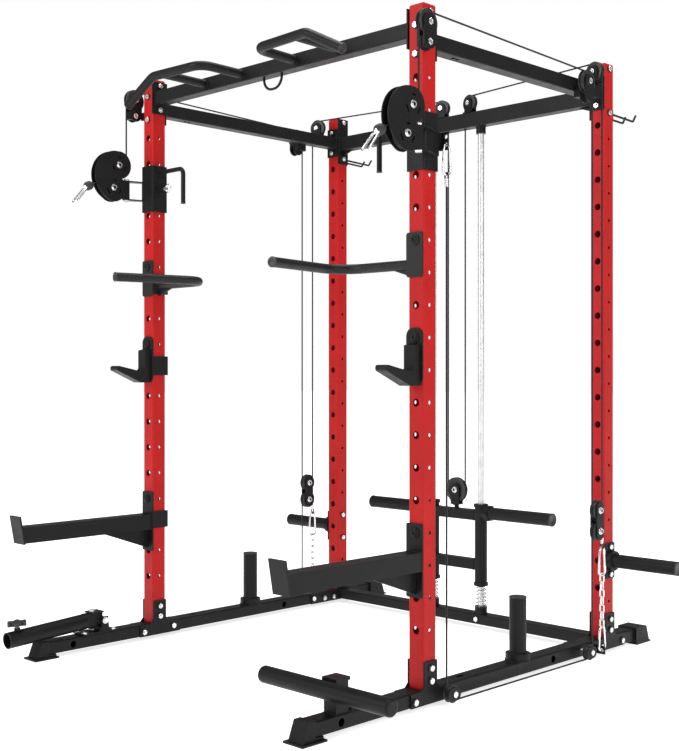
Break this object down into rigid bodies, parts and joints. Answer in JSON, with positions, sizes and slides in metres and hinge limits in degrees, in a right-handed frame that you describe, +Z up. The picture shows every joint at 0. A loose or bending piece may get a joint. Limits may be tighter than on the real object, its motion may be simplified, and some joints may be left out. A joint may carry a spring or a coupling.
{
  "type": "power cage",
  "caption": "Power cage on two long base rails with perforated square uprights, grips, crossover cable arms on sliding trolleys, a plate-loaded carriage and hang-on arms.",
  "frame": {"origin": "on the floor at the middle of the footprint", "axes": "+Z up, +X to the right and +Y to the back for someone who stands in front of the cage"},
  "size_m": [1.996, 1.933, 2.165],
  "materials": {
    "red_paint": "semi-gloss powder coat",
    "black_paint": "satin powder coat",
    "rubber_grip": "satin powder coat with textured grip",
    "pulley_nylon": "moulded nylon",
    "zinc": "zinc plated",
    "polished_rod": "hard chrome",
    "spring_steel": "chromed spring wire",
    "chrome": "nickel chrome plate",
    "cable_jacket": "nylon coated wire rope",
    "bush_nylon": "nylon",
    "knob_plastic": "moulded plastic"
  },
  "bodies": {
    "frame": {"front_upright_left": "red_paint", "front_upright_right": "red_paint", "rear_upright_left": "red_paint", "rear_upright_right": "red_paint", "base_rail_left": "black_paint", "base_rail_right": "black_paint", "rear_base_crossmember": "black_paint", "joint_plates": "black_paint", "front_top_beam": "black_paint", "top_side_rails": "black_paint", "rear_top_beam": "black_paint", "guide_rods": "polished_rod", "buffer_springs": "spring_steel", "storage_pegs": "black_paint", "accessory_hooks": "black_paint", "pulley_brackets": "black_paint", "frame_bolts": "zinc", "high_cable": "cable_jacket", "low_cables": "cable_jacket", "tension_chains": "chrome", "landmine_base": "black_paint", "foot_bar": "black_paint"},
    "carriage": {"carriage_frame": "black_paint", "carriage_bushes": "bush_nylon"},
    "carriage_wheel": {"carriage_pulley": "pulley_nylon"},
    "front_top_wheels": {"front_top_pulleys": "pulley_nylon"},
    "rear_corner_wheels": {"rear_corner_pulleys": "pulley_nylon"},
    "front_base_wheels": {"front_base_pulleys": "pulley_nylon"},
    "rear_base_wheels": {"rear_base_pulleys": "pulley_nylon"},
    "landmine_fork": {"landmine_yoke": "black_paint"},
    "landmine_sleeve": {"landmine_tube": "black_paint"},
    "landmine_screw": {"landmine_knob": "knob_plastic"},
    "trolley_left": {"trolley_left": "black_paint"},
    "lock_pin_left": {"lock_pin_left": "zinc"},
    "swivel_arm_left": {"swivel_arm_left": "black_paint", "pull_clip_left": "chrome"},
    "arm_upper_wheel_left": {"arm_upper_pulley_left": "pulley_nylon"},
    "arm_lower_wheel_left": {"arm_lower_pulley_left": "pulley_nylon"},
    "floating_block_left": {"floating_block_left": "black_paint"},
    "block_upper_wheel_left": {"block_upper_pulley_left": "pulley_nylon"},
    "block_lower_wheel_left": {"block_lower_pulley_left": "pulley_nylon"},
    "turn_wheel_left": {"turn_pulley_left": "pulley_nylon"},
    "beam_wheel_left": {"beam_pulley_left": "pulley_nylon"},
    "jhook_left": {"jhook_left": "black_paint"},
    "dip_handle_left": {"dip_handle_left": "rubber_grip"},
    "spotter_arm_left": {"spotter_arm_left": "black_paint"},
    "trolley_right": {"trolley_right": "black_paint"},
    "lock_pin_right": {"lock_pin_right": "zinc"},
    "swivel_arm_right": {"swivel_arm_right": "black_paint", "pull_clip_right": "chrome"},
    "arm_upper_wheel_right": {"arm_upper_pulley_right": "pulley_nylon"},
    "arm_lower_wheel_right": {"arm_lower_pulley_right": "pulley_nylon"},
    "floating_block_right": {"floating_block_right": "black_paint"},
    "block_upper_wheel_right": {"block_upper_pulley_right": "pulley_nylon"},
    "block_lower_wheel_right": {"block_lower_pulley_right": "pulley_nylon"},
    "turn_wheel_right": {"turn_pulley_right": "pulley_nylon"},
    "beam_wheel_right": {"beam_pulley_right": "pulley_nylon"},
    "jhook_right": {"jhook_right": "black_paint"},
    "dip_handle_right": {"dip_handle_right": "rubber_grip"},
    "spotter_arm_right": {"spotter_arm_right": "black_paint"}
  },
  "joints": [
    {"name": "carriage_slide", "type": "slide", "parent": "frame", "child": "carriage", "axis": [0, 0, 1], "range_m": [0, 1.3], "deforming": ["high_cable"]},
    {"name": "carriage_wheel_spin", "type": "hinge", "parent": "carriage", "child": "carriage_wheel", "pos_m": [0, 0.6885, 0.549], "axis": [0, 1, 0], "continuous": true},
    {"name": "front_top_wheels_spin", "type": "hinge", "parent": "frame", "child": "front_top_wheels", "pos_m": [0, -0.3795, 2.09], "axis": [1, 0, 0], "range_deg": [-5, 2075]},
    {"name": "rear_corner_wheels_spin", "type": "hinge", "parent": "frame", "child": "rear_corner_wheels", "pos_m": [0, 0.4905, 2.06], "axis": [1, 0, 0], "range_deg": [-5, 2075]},
    {"name": "front_base_wheels_spin", "type": "hinge", "parent": "frame", "child": "front_base_wheels", "pos_m": [0, -0.2615, 0.0385], "axis": [1, 0, 0], "range_deg": [-5, 379]},
    {"name": "rear_base_wheels_spin", "type": "hinge", "parent": "frame", "child": "rear_base_wheels", "pos_m": [0, 0.5035, 0.0385], "axis": [1, 0, 0], "range_deg": [-5, 379]},
    {"name": "trolley_slide_left", "type": "slide", "parent": "frame", "child": "trolley_left", "axis": [0, 0, 1], "range_m": [-0.15, 0], "deforming": ["high_cable", "low_cables"]},
    {"name": "block_slide_left", "type": "slide", "parent": "frame", "child": "floating_block_left", "axis": [0, 0, 1], "range_m": [-0.005, 0.08], "deforming": ["high_cable", "low_cables"]},
    {"name": "lock_pin_pull_left", "type": "slide", "parent": "trolley_left", "child": "lock_pin_left", "axis": [1, 0, 0], "range_m": [0, 0.012], "stiffness_N_per_m": 800, "springref_m": -0.004},
    {"name": "arm_swivel_left", "type": "hinge", "parent": "trolley_left", "child": "swivel_arm_left", "pos_m": [-0.75, -0.4155, 1.736], "axis": [0, 0, 1], "range_deg": [-75, 75], "deforming": ["high_cable"]},
    {"name": "arm_upper_spin_left", "type": "hinge", "parent": "swivel_arm_left", "child": "arm_upper_wheel_left", "pos_m": [-0.75, -0.4565, 1.829], "axis": [1, 0, 0], "range_deg": [-1822, 5]},
    {"name": "arm_lower_spin_left", "type": "hinge", "parent": "swivel_arm_left", "child": "arm_lower_wheel_left", "pos_m": [-0.75, -0.4815, 1.74], "axis": [1, 0, 0], "range_deg": [-5, 1822]},
    {"name": "block_upper_spin_left", "type": "hinge", "parent": "floating_block_left", "child": "block_upper_wheel_left", "pos_m": [-0.75, 0.5585, 0.537], "axis": [1, 0, 0], "range_deg": [-2333, 5]},
    {"name": "block_lower_spin_left", "type": "hinge", "parent": "floating_block_left", "child": "block_lower_wheel_left", "pos_m": [-0.75, 0.5585, 0.463], "axis": [1, 0, 0], "range_deg": [-140, 5]},
    {"name": "turn_wheel_spin_left", "type": "hinge", "parent": "frame", "child": "turn_wheel_left", "pos_m": [-0.7183, 0.5949, 2.118], "axis": [-0.1376, 0.9905, 0], "range_deg": [-2333, 5]},
    {"name": "beam_wheel_spin_left", "type": "hinge", "parent": "frame", "child": "beam_wheel_left", "pos_m": [-0.07322, 0.68451, 2.121], "axis": [-0.1376, 0.9905, 0], "range_deg": [-2574, 5]},
    {"name": "jhook_swing_left", "type": "hinge", "parent": "frame", "child": "jhook_left", "pos_m": [-0.688, -0.3665, 1.139], "axis": [0, -1, 0], "range_deg": [0, 90]},
    {"name": "dip_handle_swing_left", "type": "hinge", "parent": "frame", "child": "dip_handle_left", "pos_m": [-0.688, -0.3665, 1.439], "axis": [0, -1, 0], "range_deg": [0, 35]},
    {"name": "spotter_swing_left", "type": "hinge", "parent": "frame", "child": "spotter_arm_left", "pos_m": [-0.688, -0.3665, 0.539], "axis": [0, -1, 0], "range_deg": [0, 90]},
    {"name": "trolley_slide_right", "type": "slide", "parent": "frame", "child": "trolley_right", "axis": [0, 0, 1], "range_m": [-0.15, 0], "deforming": ["high_cable", "low_cables"]},
    {"name": "block_slide_right", "type": "slide", "parent": "frame", "child": "floating_block_right", "axis": [0, 0, 1], "range_m": [-0.005, 0.08], "deforming": ["high_cable", "low_cables"]},
    {"name": "lock_pin_pull_right", "type": "slide", "parent": "trolley_right", "child": "lock_pin_right", "axis": [-1, 0, 0], "range_m": [0, 0.012], "stiffness_N_per_m": 800, "springref_m": -0.004},
    {"name": "arm_swivel_right", "type": "hinge", "parent": "trolley_right", "child": "swivel_arm_right", "pos_m": [0.75, -0.4155, 1.736], "axis": [0, 0, 1], "range_deg": [-75, 75], "deforming": ["high_cable"]},
    {"name": "arm_upper_spin_right", "type": "hinge", "parent": "swivel_arm_right", "child": "arm_upper_wheel_right", "pos_m": [0.75, -0.4565, 1.829], "axis": [1, 0, 0], "range_deg": [-1822, 5]},
    {"name": "arm_lower_spin_right", "type": "hinge", "parent": "swivel_arm_right", "child": "arm_lower_wheel_right", "pos_m": [0.75, -0.4815, 1.74], "axis": [1, 0, 0], "range_deg": [-5, 1822]},
    {"name": "block_upper_spin_right", "type": "hinge", "parent": "floating_block_right", "child": "block_upper_wheel_right", "pos_m": [0.75, 0.5585, 0.537], "axis": [1, 0, 0], "range_deg": [-2333, 5]},
    {"name": "block_lower_spin_right", "type": "hinge", "parent": "floating_block_right", "child": "block_lower_wheel_right", "pos_m": [0.75, 0.5585, 0.463], "axis": [1, 0, 0], "range_deg": [-140, 5]},
    {"name": "turn_wheel_spin_right", "type": "hinge", "parent": "frame", "child": "turn_wheel_right", "pos_m": [0.7183, 0.5949, 2.118], "axis": [0.1376, 0.9905, 0], "range_deg": [-5, 2333]},
    {"name": "beam_wheel_spin_right", "type": "hinge", "parent": "frame", "child": "beam_wheel_right", "pos_m": [0.07322, 0.68451, 2.121], "axis": [0.1376, 0.9905, 0], "range_deg": [-5, 2574]},
    {"name": "jhook_swing_right", "type": "hinge", "parent": "frame", "child": "jhook_right", "pos_m": [0.688, -0.3665, 1.139], "axis": [0, 1, 0], "range_deg": [0, 90]},
    {"name": "dip_handle_swing_right", "type": "hinge", "parent": "frame", "child": "dip_handle_right", "pos_m": [0.688, -0.3665, 1.439], "axis": [0, 1, 0], "range_deg": [0, 35]},
    {"name": "spotter_swing_right", "type": "hinge", "parent": "frame", "child": "spotter_arm_right", "pos_m": [0.688, -0.3665, 0.539], "axis": [0, 1, 0], "range_deg": [0, 90]},
    {"name": "landmine_tilt", "type": "hinge", "parent": "frame", "child": "landmine_fork", "pos_m": [-0.688, -0.5765, 0.105], "axis": [-1, 0, 0], "range_deg": [0, 45]},
    {"name": "landmine_swivel", "type": "hinge", "parent": "landmine_fork", "child": "landmine_sleeve", "pos_m": [-0.688, -0.6125, 0.108], "axis": [0, 0, 1], "range_deg": [-45, 45]},
    {"name": "landmine_knob_turn", "type": "hinge", "parent": "landmine_sleeve", "child": "landmine_screw", "pos_m": [-0.688, -0.92466, 0.11733], "axis": [0, -0.0663, 0.9978], "range_deg": [-180, 180]}
  ],
  "couplings": [
    {"joint": "front_top_wheels_spin", "follows": "carriage_slide", "rad_per_m": 27.778},
    {"joint": "rear_corner_wheels_spin", "follows": "carriage_slide", "rad_per_m": 27.778},
    {"joint": "front_base_wheels_spin", "follows": "trolley_slide_right", "rad_per_m": -43.478},
    {"joint": "rear_base_wheels_spin", "follows": "trolley_slide_right", "rad_per_m": -43.478},
    {"joint": "block_slide_left", "follows": "trolley_slide_left", "ratio": -0.5},
    {"joint": "arm_upper_spin_left", "follows": "carriage_slide", "rad_per_m": -24.39},
    {"joint": "arm_lower_spin_left", "follows": "carriage_slide", "rad_per_m": 24.39},
    {"joint": "block_upper_spin_left", "follows": "carriage_slide", "rad_per_m": -31.25},
    {"joint": "block_lower_spin_left", "follows": "trolley_slide_left", "rad_per_m": 15.625},
    {"joint": "turn_wheel_spin_left", "follows": "carriage_slide", "rad_per_m": -31.25},
    {"joint": "beam_wheel_spin_left", "follows": "carriage_slide", "rad_per_m": -34.483},
    {"joint": "block_slide_right", "follows": "trolley_slide_right", "ratio": -0.5},
    {"joint": "arm_upper_spin_right", "follows": "carriage_slide", "rad_per_m": -24.39},
    {"joint": "arm_lower_spin_right", "follows": "carriage_slide", "rad_per_m": 24.39},
    {"joint": "block_upper_spin_right", "follows": "carriage_slide", "rad_per_m": -31.25},
    {"joint": "block_lower_spin_right", "follows": "trolley_slide_right", "rad_per_m": 15.625},
    {"joint": "turn_wheel_spin_right", "follows": "carriage_slide", "rad_per_m": 31.25},
    {"joint": "beam_wheel_spin_right", "follows": "carriage_slide", "rad_per_m": 34.483}
  ]
}
